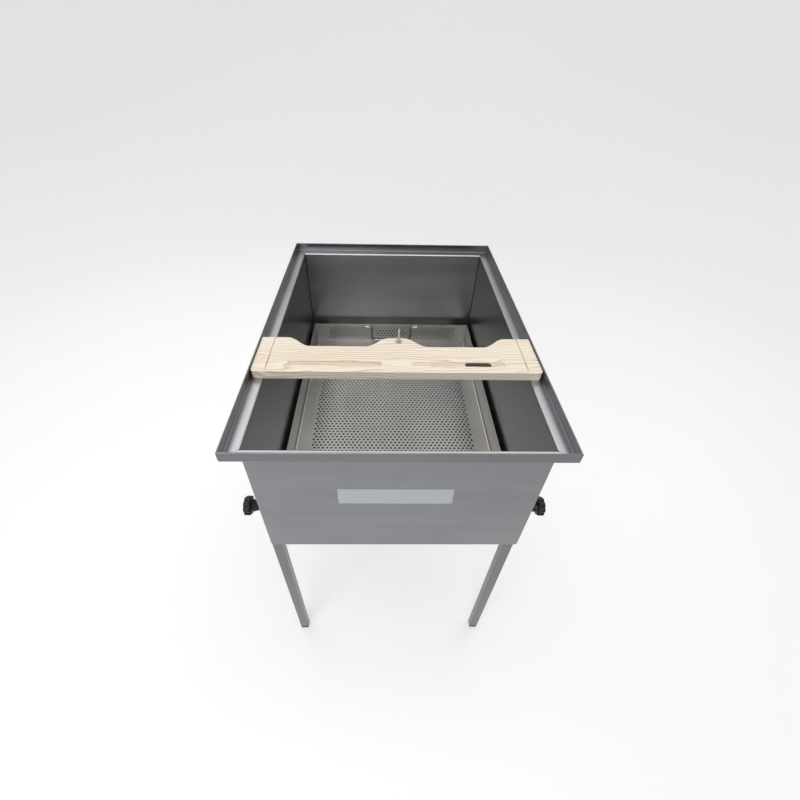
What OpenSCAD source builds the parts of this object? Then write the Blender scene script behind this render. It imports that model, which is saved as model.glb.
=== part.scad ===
// Uncapping tank: an open steel tub on four legs, with a hemmed rim, a lift-out perforated basket,
// a wooden bar that slides along the rim, and a gate valve at the low end of the floor.
// The origin is on the ground under the middle of the whole object. Z is up and the front is towards -Y.

/* [Rim] */
// Width across the outer faces of the rim
rim_w = 500; // [440:10:620]
// Depth across the outer faces of the rim
rim_d = 700; // [600:10:900]
// Height of the top of the rim above the ground
tank_h = 850; // [700:10:1000]
// Height of the lip, from the underside of the ledge to its top
lip_h = 20; // [16:1:30]
// Thickness of the hem, folded flat along the top of the lip
hem_t = 2.4; // [2.4:0.2:6]
// Height of the folded hem
hem_h = 8; // [6:1:12]
// Outer radius of the bend between ledge and lip
lip_bend = 3; // [2.5:0.5:6]
// Inner radius of the bend between ledge and wall
wall_bend = 1.5; // [1:0.5:4]

/* [Tub] */
// Thickness of the sheet
sheet = 1.2; // [0.8:0.1:2]
// Drop from the top of the rim to the bottom of the front wall
tub_drop = 290; // [260:5:360]
// Fall of the floor from front to rear
floor_fall = 25; // [10:1:50]
// Outer radius of the bend between the floor and the side walls
floor_bend = 6; // [3:0.5:10]

/* [Legs] */
// Width of the square leg tube
leg_w = 20; // [18:1:30]
// Wall of the leg tube
leg_wall = 1.5; // [1:0.1:3]
// Outer radius of the tube's corners
leg_corner = 2; // [1:0.5:4]
// Distance from the tub's end walls to the legs' axes
leg_setback = 51; // [35:1:120]
// Height of a foot below the tube
foot_h = 8; // [4:1:15]
// Length of a foot's plug inside the tube
foot_plug = 22; // [10:1:40]
// Height of a leg guide
guide_h = 40; // [20:5:80]
// Distance of a leg guide below the ledge
guide_drop = 30; // [10:5:60]
// Thickness of a leg guide's cheeks
guide_t = 1.5; // [1:0.1:3]
// Reach of the cheeks along the sides of the leg
guide_reach = 12; // [6:1:16]

/* [Knobs] */
// Diameter of a clamping stud
stud_d = 8; // [6:1:10]
// Height of the studs above the bottom of the front wall
stud_up = 50; // [30:1:90]
// Diameter of a knob
knob_d = 36; // [32:1:50]
// Thickness of the fluted part of a knob
knob_rim_t = 13; // [8:1:20]
// Length of the tapered hub of a knob
knob_hub_t = 14; // [12:1:26]
// Diameter of the hub at the leg
hub_d_small = 18; // [16:1:22]
// Diameter of the hub at the fluted part
hub_d_large = 24; // [20:1:30]
// Number of flutes
flutes = 8; // [5:1:12]
// Diameter of a flute
flute_d = 8; // [4:0.5:10]
// Bevel along the edges of the fluted part
knob_edge = 2; // [0.5:0.5:3]
// Outer diameter of the threaded bush
bush_d = 13; // [12:0.5:15]
// Length of the threaded bush
bush_l = 18; // [14:1:24]
// Diameter of a leg washer
leg_washer_d = 18; // [16:1:24]
// Thickness of a leg washer
leg_washer_t = 1.6; // [1:0.1:3]

/* [Basket] */
// Gap between the basket and the tub's side walls
basket_side_gap = 8; // [5:0.5:20]
// Gap between the basket and the tub's end walls
basket_end_gap = 22; // [10:1:40]
// Height of the basket
basket_h = 60; // [50:1:100]
// Thickness of the basket's sheet
basket_t = 1; // [0.8:0.1:2]
// Height of the basket's floor above the bend of the tub's floor at the front
basket_clear = 7.2; // [6:0.2:25]
// Plain margin at the sides of the perforated field
field_side = 33; // [20:1:60]
// Plain margin at the ends of the perforated field
field_end = 25; // [15:1:60]
// Plain margin above and below the holes in the end walls
field_wall = 12; // [10:1:20]
// Diameter of a perforation
hole_d = 14; // [8:1:18]
// Distance between perforations
hole_pitch = 28; // [22:1:50]
// Thickness of a basket rail
rail_t = 2; // [1:0.5:3]
// Overlap of a rail under the basket
rail_overlap = 15; // [8:1:25]

/* [Basket handles] */
// Diameter of the handle rod
rod_d = 5; // [4:0.5:8]
// Distance between the legs of a handle
handle_w = 112; // [80:1:200]
// Gap between a handle's grip and the basket's floor
grip_gap = 6.5; // [4:0.5:15]
// Radius of the rod's bends, at its middle
rod_bend = 8; // [7:0.5:12]
// Outer diameter of a handle eye
eye_d = 10; // [10:0.5:14]
// Length of a handle eye
eye_l = 10; // [6:1:16]

/* [Bar] */
// Depth of the bar
bar_d = 100; // [80:1:140]
// Thickness of the bar
bar_t = 15; // [12:1:24]
// Distance of the bar's front edge from the front of the rim
bar_at = 178; // [10:1:400]
// Radius of the bar's front corners
bar_corner = 7; // [3:0.5:12]
// Radius of the bar's rear corners
horn_corner = 3; // [2:0.5:6]
// Length of the full-depth horn at each end
horn_l = 46; // [30:1:80]
// Depth of the scallops between the horns and the boss
scallop = 27; // [10:1:35]
// Width of the flat top of the boss
boss_w = 26; // [16:1:60]
// Width of each curved flank of a scallop
flank_w = 44; // [20:1:60]
// Width of the knife slot and of the grooves in line with it
slot_w = 12; // [8:0.5:16]
// Length of the knife slot
slot_l = 46; // [25:1:60]
// Place of the slot's near end, from the middle of the bar
slot_x = 117; // [60:1:125]
// Distance of the slot's middle from the bar's front edge
slot_in = 23; // [18:1:30]
// Length of each shallow groove
groove_l = 160; // [100:5:180]
// Distance of each groove's near end from the middle of the bar
groove_x = 27; // [15:1:40]
// Depth of a groove
groove_depth = 1.5; // [0.5:0.5:4]
// Width of the kerf across each end
kerf_w = 2.5; // [1:0.5:5]
// Depth of the kerf
kerf_depth = 3; // [1:0.5:6]
// Distance of the kerf from the end of the bar
kerf_in = 24; // [15:1:28]
// Length of plain wood between the kerf and the front edge
kerf_stop = 6; // [3:1:20]

/* [Spike] */
// Diameter of the spike
spike_d = 5; // [4:0.5:8]
// Height of the spike above the bar
spike_h = 31; // [20:1:60]
// Length of the spike's point
spike_point = 7; // [4:1:15]
// Offset of the spike from the middle of the bar
spike_x = 4; // [-5:1:5]
// Distance of the spike from the rear edge of the boss
spike_in = 12; // [8:1:25]
// Diameter of the spike's washer
spike_washer_d = 12; // [11:0.5:16]
// Thickness of the spike's washer
spike_washer_t = 1.5; // [1:0.1:3]
// Width across the corners of the spike's nut
spike_nut_d = 10; // [10:0.5:16]
// Thickness of the spike's nut
spike_nut_t = 4; // [3:0.5:8]

/* [Outlet and gate] */
// Bore of the outlet
outlet_bore = 40; // [30:1:50]
// Margin of the weld-in plate around the bore
plate_margin = 22; // [10:1:40]
// Wall of the outlet pipe
outlet_wall = 5; // [3:0.5:6]
// Length of the outlet pipe
outlet_l = 28; // [24:1:50]
// Height of the bore above the floor at the rear
outlet_rise = 2; // [1:0.5:10]
// Wall of the gate body around the pipe
gate_wall = 7; // [5:0.5:10]
// Thickness of the gate body's end plate
gate_plate = 6; // [5:0.5:10]
// Diameter of the pivot boss and of the eye of the blade
pivot_boss_d = 22; // [18:1:28]
// Height of the arm that carries the pivot boss
pivot_arm_h = 14; // [8:1:16]
// Distance of the pivot from the middle of the outlet
pivot_in = 44; // [42:1:55]
// Diameter of the pivot bolt
pivot_d = 8; // [6:1:10]
// Width across the corners of the bolt's head
bolt_head_d = 15; // [13:0.5:18]
// Thickness of the bolt's head
bolt_head_t = 5; // [3:0.5:6]
// Gap between the bolt's head and the rear wall
head_gap = 3; // [2:0.5:6]
// Thickness of the blade
blade_t = 5; // [3:0.5:8]
// Overlap of the blade beyond the bore
blade_lap = 9; // [8:0.5:14]
// Reach of the lever from the middle of the outlet
lever_l = 72; // [60:1:120]
// Width of the lever
lever_w = 14; // [10:1:20]
// Diameter of the stop below the lever
stop_d = 6; // [4:0.5:8]
// Thickness of the rib that carries the stop
stop_rib_t = 3.5; // [2:0.5:3.5]
// Diameter of the finger stud on the lever
finger_d = 15; // [12:1:20]
// Height of the finger stud above the blade
finger_h = 16; // [8:1:25]
// Width of the seal
seal_w = 3; // [2:0.5:3]
// Depth of the groove that holds the seal
seal_depth = 2; // [1:0.5:3]
// Diameter of the gate's washer
gate_washer_d = 18; // [16:1:24]
// Thickness of the gate's washer
gate_washer_t = 1.6; // [1:0.1:3]
// Diameter of the wing nut's hub
wing_hub_d = 14; // [13:1:18]
// Height of the wing nut's hub
wing_hub_h = 8; // [6:1:12]
// Span of the wings
wing_span = 36; // [30:1:50]
// Height of the wings
wing_h = 14; // [10:1:20]
// Thickness of the wings
wing_t = 3; // [2:0.5:5]

/* [Hidden] */
$fn = 48;
// Overrun of every cut
over = 1;
// Gap under a piece that rests on another and can be lifted or slid
seat_gap = 0.2;
// Radial clearance of a turning fit
run_gap = 0.05;
// Radial clearance of a fitted piece
fit_gap = 0.1;
// Radial clearance of a hole that a bolt or stud passes through
pass_gap = 0.4;
// Clearance at the sides of a leg in its guide
guide_gap = 0.2;
// Clearance between the bar's ends and the rim's hem
bar_gap = 0.9;
// Gap between a rail and the bend of the tub's floor at the front
rail_gap = 1;
// Distance that a stud stops short of the end of its bush
stud_short = 2;
// Thread left standing past the spike's nut
thread_end = 1.5;
// Drop of a handle's pivot below the top of the basket
eye_drop = 6;
// Distance of the flute's middle outside the knob
flute_out = 1.5;
// Gap between the blade's edge and the stop
stop_gap = 0.7;
// Segments of each curved stretch of the bar's outline
curve_steps = 12;

// Ledge, tub and floor
ledge_w = leg_w + wall_bend;
ledge_low = tank_h - lip_h;
ledge_top = ledge_low + sheet;
wall_top = ledge_low - wall_bend;
tub_x = rim_w / 2 - ledge_w;
tub_y = rim_d / 2 - ledge_w;
tub_in_x = tub_x - sheet;
tub_in_y = tub_y - sheet;
tub_low = tank_h - tub_drop;
floor_angle = atan(floor_fall / (2 * tub_y));
function floor_low(y) = tub_low - (y + tub_y) * tan(floor_angle);

// Legs, studs and knobs
leg_x = rim_w / 2 - leg_w / 2;
leg_y = tub_y - leg_setback;
stud_z = tub_low + stud_up;
knob_x = rim_w / 2 + leg_washer_t + seat_gap;
knob_l = knob_hub_t + knob_rim_t;
stud_end = knob_x + bush_l - stud_short;

// Basket and handles
basket_x = tub_in_x - basket_side_gap;
basket_y = tub_in_y - basket_end_gap;
basket_low = tub_low + floor_bend + basket_clear;
basket_top = basket_low + basket_h;
rail_top = basket_low - seat_gap;
rail_h = basket_clear - seat_gap - rail_gap;
field_x = basket_x - field_side;
pivot_y = basket_y - basket_t - eye_d / 2;
pivot_z = basket_top - eye_drop;
handle_h = basket_h - eye_drop - basket_t - grip_gap - rod_d / 2;
eye_x = handle_w / 2 + rod_bend + seat_gap;

// Bar and spike
bar_l = rim_w - 2 * hem_t - 2 * bar_gap;
bar_y = bar_at - rim_d / 2;
bar_low = ledge_top + seat_gap;
dip_y = bar_d - scallop;
spike_y = bar_d - spike_in;

// Outlet and gate, measured rearwards from the outer face of the rear wall
outlet_z = floor_low(tub_y) + sheet + outlet_rise + outlet_bore / 2;
outlet_d = outlet_bore + 2 * outlet_wall;
plate_w = outlet_bore + 2 * plate_margin;
plate_h = sheet + outlet_rise + outlet_bore + plate_margin;
gate_d = outlet_d + 2 * fit_gap + 2 * gate_wall;
gate_near = bolt_head_t + head_gap;
gate_far = outlet_l + gate_plate;
blade_near = gate_far + seat_gap;
blade_far = blade_near + blade_t;
washer_near = blade_far + seat_gap;
nut_near = washer_near + gate_washer_t + seat_gap;
pivot_end = nut_near + wing_hub_h;
seal_d = outlet_bore + seal_w;
blade_d = outlet_bore + 2 * blade_lap;
stop_out = (blade_d + stop_d) / 2 + stop_gap;
stop_turn = asin((lever_w / 2 + stop_d / 2 + seat_gap) / stop_out);
gate_reach = max(blade_far + finger_h, nut_near + wing_h);

// Place of the tank, so that the whole object with its gate is centred on the origin
tank_y = (ledge_w - gate_reach) / 2;

// Moves a piece drawn about the middle of the tub to its place
module at_tank() {
    translate([0, tank_y, 0]) children();
}

// Turns an outline in Y and Z into a plate of the given thickness along X
module along_x(thickness) {
    rotate([90, 0, 90]) linear_extrude(thickness) children();
}

// Turns an outline in X and Z into a plate of the given thickness along Y
module along_y(thickness) {
    translate([0, thickness, 0]) rotate([90, 0, 0]) linear_extrude(thickness) children();
}

// A round bar or hole along Y, from the origin rearwards
module round_y(diameter, length) {
    rotate([-90, 0, 0]) cylinder(d = diameter, h = length);
}

// A ring along Y, from the origin rearwards
module ring_y(outer, inner, length) {
    difference() {
        round_y(outer, length);
        translate([0, -over, 0]) round_y(inner, length + 2 * over);
    }
}

// A centred rectangle with round corners
module round_square(size_x, size_y, radius) {
    square([size_x - 2 * radius, size_y], center = true);
    square([size_x, size_y - 2 * radius], center = true);
    for (sx = [-1, 1], sy = [-1, 1])
        translate([sx * (size_x / 2 - radius), sy * (size_y / 2 - radius)]) circle(radius);
}

// A centred slot along X with round ends
module round_slot(length, width) {
    square([length - width, width], center = true);
    for (sx = [-1, 1])
        translate([sx * (length - width) / 2, 0]) circle(d = width);
}

// A quarter of a ring about the origin, in the quadrant reached by the given turn
module quarter_ring(outer, thickness, turn) {
    rotate(turn) intersection() {
        difference() {
            circle(outer);
            circle(outer - thickness);
        }
        square(outer);
    }
}

// Section of the rim: the hemmed lip, the ledge, and the bends into the lip and the wall
module rim_section() {
    translate([0, ledge_low + lip_bend]) square([sheet, lip_h - lip_bend - hem_t / 2]);
    translate([0, tank_h - hem_h]) square([hem_t, hem_h - hem_t / 2]);
    translate([hem_t / 2, tank_h - hem_t / 2]) circle(d = hem_t);
    translate([lip_bend, ledge_low]) square([ledge_w - lip_bend - wall_bend, sheet]);
    translate([lip_bend, ledge_low + lip_bend]) quarter_ring(lip_bend, sheet, 180);
    translate([ledge_w - wall_bend, wall_top]) quarter_ring(wall_bend + sheet, sheet, 0);
}

// One side of the rim, mitred at both ends, with its outer face towards -Y
module rim_side(length, out) {
    mitre = ledge_w + sheet;
    color("gainsboro") intersection() {
        translate([-length / 2, -out, 0]) along_x(length) rim_section();
        linear_extrude(tank_h + over) polygon([
            [-length / 2, -out], [length / 2, -out],
            [length / 2 - mitre, mitre - out], [mitre - length / 2, mitre - out]
        ]);
    }
}

module rim_front() { at_tank() rim_side(rim_w, rim_d / 2); }
module rim_rear() { at_tank() rotate(180) rim_side(rim_w, rim_d / 2); }
module rim_left() { at_tank() rotate(-90) rim_side(rim_d, rim_w / 2); }
module rim_right() { at_tank() rotate(90) rim_side(rim_d, rim_w / 2); }

// Outline of an end wall, with its bottom corners rounded to the bend of the floor
module end_wall_outline(low) {
    translate([-tub_x, low + floor_bend]) square([2 * tub_x, wall_top - low - floor_bend]);
    translate([floor_bend - tub_x, low]) square([2 * (tub_x - floor_bend), floor_bend]);
    for (sx = [-1, 1])
        translate([sx * (tub_x - floor_bend), low + floor_bend]) circle(floor_bend);
}

module tub_front_wall() {
    color("silver") at_tank() translate([0, -tub_y, 0]) along_y(sheet) end_wall_outline(tub_low);
}

// Outline of the weld-in plate at the bottom of the rear wall, and with an overrun the notch for it
module plate_outline(overrun) {
    translate([-plate_w / 2, floor_low(tub_y) - overrun]) square([plate_w, plate_h + overrun]);
}

module tub_rear_wall() {
    color("silver") at_tank() translate([0, tub_in_y, 0]) along_y(sheet) difference() {
        end_wall_outline(floor_low(tub_y));
        plate_outline(over);
    }
}

// A side wall, whose lower edge follows the bend of the sloping floor
module tub_side_wall(sx) {
    bend_rise = floor_bend / cos(floor_angle);
    color("silver") at_tank() translate([sx * (tub_x - sheet / 2) - sheet / 2, 0, 0]) along_x(sheet)
        polygon([
            [-tub_in_y, floor_low(-tub_in_y) + bend_rise], [tub_in_y, floor_low(tub_in_y) + bend_rise],
            [tub_in_y, wall_top], [-tub_in_y, wall_top]
        ]);
}

// The sloping floor with its bent-up sides, cut off between the end walls
module tub_floor() {
    run = 2 * tub_y / cos(floor_angle) + 2 * over;
    flat_x = tub_x - floor_bend;
    color("silver") at_tank() intersection() {
        translate([0, -tub_y, tub_low]) rotate([-floor_angle, 0, 0]) translate([0, -over, 0]) along_y(run) {
            translate([-flat_x, 0]) square([2 * flat_x, sheet]);
            translate([-flat_x, floor_bend]) quarter_ring(floor_bend, sheet, 180);
            translate([flat_x, floor_bend]) quarter_ring(floor_bend, sheet, 270);
        }
        translate([-tub_x, -tub_in_y, 0]) cube([2 * tub_x, 2 * tub_in_y, tank_h]);
    }
}

// Places a piece at the leg on the given side and end
module at_leg(sx, sy) {
    at_tank() translate([sx * leg_x, sy * leg_y, 0]) children();
}

module leg(sx, sy) {
    color("lightgray") at_leg(sx, sy) difference() {
        translate([0, 0, foot_h]) linear_extrude(ledge_low - foot_h) difference() {
            round_square(leg_w, leg_w, leg_corner);
            square(leg_w - 2 * leg_wall, center = true);
        }
        translate([-leg_w / 2 - over, 0, stud_z]) rotate([0, 90, 0])
            cylinder(d = stud_d + 2 * pass_gap, h = leg_w + 2 * over);
    }
}

module foot(sx, sy) {
    color("#2a2a2a") at_leg(sx, sy) {
        linear_extrude(foot_h) round_square(leg_w, leg_w, leg_corner);
        linear_extrude(foot_h + foot_plug) square(leg_w - 2 * leg_wall - 2 * fit_gap, center = true);
    }
}

// Channels on the side walls that keep the legs upright
module leg_guides() {
    half = leg_w / 2 + guide_gap + guide_t;
    color("silver") at_tank() for (sx = [0, 1], sy = [-1, 1])
        mirror([sx, 0, 0]) translate([tub_x, sy * leg_y, ledge_low - guide_drop - guide_h])
            linear_extrude(guide_h) {
                translate([0, -half]) square([wall_bend, 2 * half]);
                for (cheek = [-half, half - guide_t])
                    translate([0, cheek]) square([wall_bend + guide_reach, guide_t]);
            }
}

// Places a piece drawn along Z at a stud, with Z pointing outwards from the given distance
module at_stud(sx, sy, x) {
    at_tank() translate([sx * x, sy * leg_y, stud_z]) rotate([0, sx * 90, 0]) children();
}

module leg_studs() {
    color("silver") for (sx = [-1, 1], sy = [-1, 1])
        at_stud(sx, sy, tub_x) cylinder(d = stud_d, h = stud_end - tub_x);
}

module leg_washers() {
    color("silver") for (sx = [-1, 1], sy = [-1, 1])
        at_stud(sx, sy, rim_w / 2) difference() {
            cylinder(d = leg_washer_d, h = leg_washer_t);
            translate([0, 0, -over]) cylinder(d = stud_d + 2 * pass_gap, h = leg_washer_t + 2 * over);
        }
}

// A fluted knob with a tapered hub and a blind pocket for its bush
module knob(sx, sy) {
    color("#1a1a1a") at_stud(sx, sy, knob_x) difference() {
        rotate_extrude() polygon([
            [0, 0], [hub_d_small / 2, 0], [hub_d_large / 2, knob_hub_t],
            [knob_d / 2 - knob_edge, knob_hub_t], [knob_d / 2, knob_hub_t + knob_edge],
            [knob_d / 2, knob_l - knob_edge], [knob_d / 2 - knob_edge, knob_l], [0, knob_l]
        ]);
        for (i = [0 : flutes - 1])
            rotate(i * 360 / flutes) translate([knob_d / 2 + flute_out, 0, knob_hub_t - over])
                cylinder(d = flute_d, h = knob_rim_t + 2 * over);
        translate([0, 0, -over]) cylinder(d = bush_d + 2 * fit_gap, h = bush_l + over);
    }
}

module knob_bush(sx, sy) {
    color("goldenrod") at_stud(sx, sy, knob_x) difference() {
        cylinder(d = bush_d, h = bush_l);
        translate([0, 0, -over]) cylinder(d = stud_d + 2 * run_gap, h = bush_l + 2 * over);
    }
}

// An angle on a side wall whose flat top carries the basket
module basket_rail(sx) {
    reach = basket_side_gap + rail_overlap;
    color("silver") at_tank() mirror([sx, 0, 0]) translate([tub_in_x - reach, -basket_y, rail_top])
        along_y(2 * basket_y) {
            translate([0, -rail_t]) square([reach, rail_t]);
            translate([reach - rail_t, -rail_h]) square([rail_t, rail_h]);
        }
}

// Staggered round holes over a centred field
module hole_field(half_x, half_y) {
    row_step = hole_pitch * sin(60);
    columns = floor((half_x - hole_d / 2) / hole_pitch);
    rows = floor((half_y - hole_d / 2) / row_step);
    for (row = [-rows : rows], column = [-columns : columns - abs(row) % 2])
        translate([(column + (abs(row) % 2) / 2) * hole_pitch, row * row_step]) circle(d = hole_d);
}

module basket_floor() {
    color("lightgray") at_tank() translate([0, 0, basket_low]) linear_extrude(basket_t) difference() {
        square([2 * basket_x, 2 * basket_y], center = true);
        hole_field(field_x, basket_y - field_end);
    }
}

// An end wall of the basket, perforated over the width of the floor's field
module basket_end_wall(y) {
    wall_h = basket_h - basket_t;
    color("lightgray") at_tank() translate([0, y, basket_low + basket_t + wall_h / 2])
        along_y(basket_t) difference() {
            square([2 * basket_x, wall_h], center = true);
            hole_field(field_x, wall_h / 2 - field_wall);
        }
}

module basket_front_wall() { basket_end_wall(-basket_y); }
module basket_rear_wall() { basket_end_wall(basket_y - basket_t); }

module basket_side_wall(x) {
    color("lightgray") at_tank() translate([x, basket_t - basket_y, basket_low + basket_t])
        cube([basket_t, 2 * (basket_y - basket_t), basket_h - basket_t]);
}

module basket_left_wall() { basket_side_wall(-basket_x); }
module basket_right_wall() { basket_side_wall(basket_x - basket_t); }

// Two short tubes on an end wall that hold the ends of its handle
module handle_eyes(sy) {
    color("silver") at_tank() for (sx = [-1, 1])
        translate([sx * (eye_x + eye_l / 2), sy * pivot_y, pivot_z]) rotate([0, 90, 0]) difference() {
            cylinder(d = eye_d, h = eye_l, center = true);
            cylinder(d = rod_d + 2 * run_gap, h = eye_l + 2 * over, center = true);
        }
}

// A quarter bend of the handle rod in the XZ plane, from the point on +X to the point on +Z
module rod_elbow() {
    rotate([90, 0, 0]) rotate_extrude(angle = 90) translate([rod_bend, 0]) circle(d = rod_d);
}

// A drop handle, hanging from its eyes: two pins, two legs and a grip, joined by bends
module basket_handle(sy) {
    leg_top = -rod_bend;
    leg_low = rod_bend - handle_h;
    color("silver") at_tank() translate([0, sy * pivot_y, pivot_z]) for (side = [0, 1]) mirror([side, 0, 0]) {
        translate([handle_w / 2 + rod_bend, 0, 0]) rotate([0, 90, 0]) cylinder(d = rod_d, h = eye_l);
        translate([handle_w / 2 + rod_bend, 0, leg_top]) mirror([1, 0, 0]) rod_elbow();
        translate([handle_w / 2, 0, leg_low]) cylinder(d = rod_d, h = leg_top - leg_low);
        translate([handle_w / 2 - rod_bend, 0, leg_low]) mirror([0, 0, 1]) rod_elbow();
        translate([0, 0, -handle_h]) rotate([0, 90, 0]) cylinder(d = rod_d, h = handle_w / 2 - rod_bend);
    }
}

// Points of a quarter round
function corner(x, y, radius, start) = [
    for (i = [0 : curve_steps]) let (a = start + 90 * i / curve_steps)
        [x + radius * cos(a), y + radius * sin(a)]
];

// Points of a smooth flank between two levels
function flank(x0, y0, x1, y1) = [
    for (i = [0 : curve_steps]) let (t = i / curve_steps)
        [x0 + (x1 - x0) * t, y0 + (y1 - y0) * (1 - cos(180 * t)) / 2]
];

// Outline of the bar: a straight front edge, and two scallops between the horns and the boss
module bar_outline() {
    end_x = bar_l / 2;
    horn_x = end_x - horn_l;
    boss_x = boss_w / 2;
    polygon(concat(
        corner(bar_corner - end_x, bar_corner, bar_corner, 180),
        corner(end_x - bar_corner, bar_corner, bar_corner, 270),
        corner(end_x - horn_corner, bar_d - horn_corner, horn_corner, 0),
        flank(horn_x, bar_d, horn_x - flank_w, dip_y),
        flank(boss_x + flank_w, dip_y, boss_x, bar_d),
        flank(-boss_x, bar_d, -boss_x - flank_w, dip_y),
        flank(flank_w - horn_x, dip_y, -horn_x, bar_d),
        corner(horn_corner - end_x, bar_d - horn_corner, horn_corner, 90)
    ));
}

// Places a piece drawn from the middle of the bar's front edge
module at_bar(z) {
    at_tank() translate([0, bar_y, z]) children();
}

module frame_rest_bar() {
    kerf_x = bar_l / 2 - kerf_in;
    color("burlywood") at_bar(bar_low) difference() {
        linear_extrude(bar_t) bar_outline();
        translate([slot_x + slot_l / 2, slot_in, -over]) linear_extrude(bar_t + 2 * over)
            round_slot(slot_l, slot_w);
        for (sx = [-1, 1]) {
            translate([sx * (groove_x + groove_l / 2), slot_in, bar_t - groove_depth])
                linear_extrude(groove_depth + over) square([groove_l, slot_w], center = true);
            translate([sx * kerf_x - kerf_w / 2, kerf_stop, bar_t - kerf_depth])
                cube([kerf_w, bar_d, kerf_depth + over]);
        }
        translate([spike_x, spike_y, -over]) cylinder(d = spike_d + 2 * fit_gap, h = bar_t + 2 * over);
    }
}

// Places a piece drawn along the axis of the spike, from the given height
module at_spike(z) {
    at_bar(z) translate([spike_x, spike_y, 0]) children();
}

module frame_spike() {
    tail = spike_nut_t + thread_end;
    shank = tail + bar_t + spike_h - spike_point;
    color("silver") at_spike(bar_low - tail) rotate_extrude()
        polygon([[0, 0], [spike_d / 2, 0], [spike_d / 2, shank], [0, shank + spike_point]]);
}

module spike_washer() {
    color("silver") at_spike(bar_low + bar_t) difference() {
        cylinder(d = spike_washer_d, h = spike_washer_t);
        translate([0, 0, -over]) cylinder(d = spike_d + 2 * fit_gap, h = spike_washer_t + 2 * over);
    }
}

module spike_nut() {
    color("silver") at_spike(bar_low - spike_nut_t) difference() {
        cylinder(d = spike_nut_d, h = spike_nut_t, $fn = 6);
        translate([0, 0, -over]) cylinder(d = spike_d + 2 * fit_gap, h = spike_nut_t + 2 * over);
    }
}

// Places a piece on the axis of the outlet, the given distance behind the rear wall
module at_outlet(y) {
    at_tank() translate([0, tub_y + y, outlet_z]) children();
}

// Places a piece on the pivot of the gate
module at_pivot(y) {
    at_outlet(y) translate([-pivot_in, 0, 0]) children();
}

// The plate that is welded into the notch of the rear wall and carries the outlet
module outlet_plate() {
    color("silver") at_tank() translate([0, tub_in_y, 0]) along_y(sheet) difference() {
        plate_outline(0);
        translate([0, outlet_z]) circle(d = outlet_bore);
    }
}

module outlet_pipe() {
    color("silver") at_outlet(0) ring_y(outlet_d, outlet_bore, outlet_l);
}

// The gate's body: a socket on the pipe, an end plate with the seal's groove, the pivot boss on its arm,
// and a stop that the lever rests on
module gate_body() {
    gate_l = gate_far - gate_near;
    color("ivory") difference() {
        union() {
            at_outlet(gate_near) round_y(gate_d, gate_l);
            at_pivot(gate_near) round_y(pivot_boss_d, gate_l);
            at_pivot(gate_near) translate([0, 0, -pivot_arm_h / 2]) cube([pivot_in, gate_l, pivot_arm_h]);
            at_outlet(gate_near) rotate([0, stop_turn, 0]) {
                translate([0, 0, -stop_rib_t / 2]) cube([stop_out, gate_l, stop_rib_t]);
                translate([stop_out, 0, 0]) round_y(stop_d, blade_far - gate_near);
            }
        }
        at_outlet(gate_near - over) round_y(outlet_d + 2 * fit_gap, outlet_l - gate_near + over);
        at_outlet(gate_near) round_y(outlet_bore, gate_far);
        at_outlet(gate_far - seal_depth) ring_y(seal_d + 2 * seal_w, seal_d, seal_depth + over);
        at_pivot(gate_near - over) round_y(pivot_d + 2 * fit_gap, gate_far);
    }
}

module gate_seal() {
    color("#303030") at_outlet(gate_far - seal_depth)
        ring_y(seal_d + 2 * seal_w - 2 * fit_gap, seal_d + 2 * fit_gap, seal_depth);
}

// The blade that swings across the outlet, with its pivot eye, lever and finger stud
module gate_blade() {
    color("ivory") difference() {
        union() {
            at_outlet(blade_near) {
                along_y(blade_t) {
                    circle(d = blade_d);
                    translate([-pivot_in, 0]) circle(d = pivot_boss_d);
                    translate([-pivot_in, -lever_w / 2]) square([pivot_in + lever_l, lever_w]);
                    translate([lever_l, 0]) circle(d = finger_d);
                }
            }
            at_outlet(blade_far) translate([lever_l, 0, 0]) round_y(finger_d, finger_h);
        }
        at_pivot(blade_near - over) round_y(pivot_d + 2 * run_gap, blade_t + 2 * over);
    }
}

module gate_pivot_bolt() {
    color("silver") {
        at_pivot(gate_near) round_y(pivot_d, pivot_end - gate_near);
        at_pivot(gate_near - bolt_head_t) rotate([-90, 0, 0])
            cylinder(d = bolt_head_d, h = bolt_head_t, $fn = 6);
    }
}

module gate_washer() {
    color("silver") at_pivot(washer_near) ring_y(gate_washer_d, pivot_d + 2 * fit_gap, gate_washer_t);
}

// A wing nut: a round hub with two wings that rise past it
module gate_wing_nut() {
    wing_in = pivot_d / 2 + wing_t;
    color("silver") difference() {
        union() {
            at_pivot(nut_near) round_y(wing_hub_d, wing_hub_h);
            for (turn = [0, 180])
                at_pivot(nut_near) rotate([0, turn, 0]) translate([0, 0, -wing_t / 2]) linear_extrude(wing_t)
                    polygon([
                        [0, 0], [wing_hub_d / 2, 0], [wing_span / 2, wing_h - wing_hub_h],
                        [wing_span / 2, wing_h], [wing_in + wing_t, wing_h],
                        [wing_in, wing_hub_h], [0, wing_hub_h]
                    ]);
        }
        at_pivot(nut_near - over) round_y(pivot_d + 2 * run_gap, wing_hub_h + 2 * over);
    }
}

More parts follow.
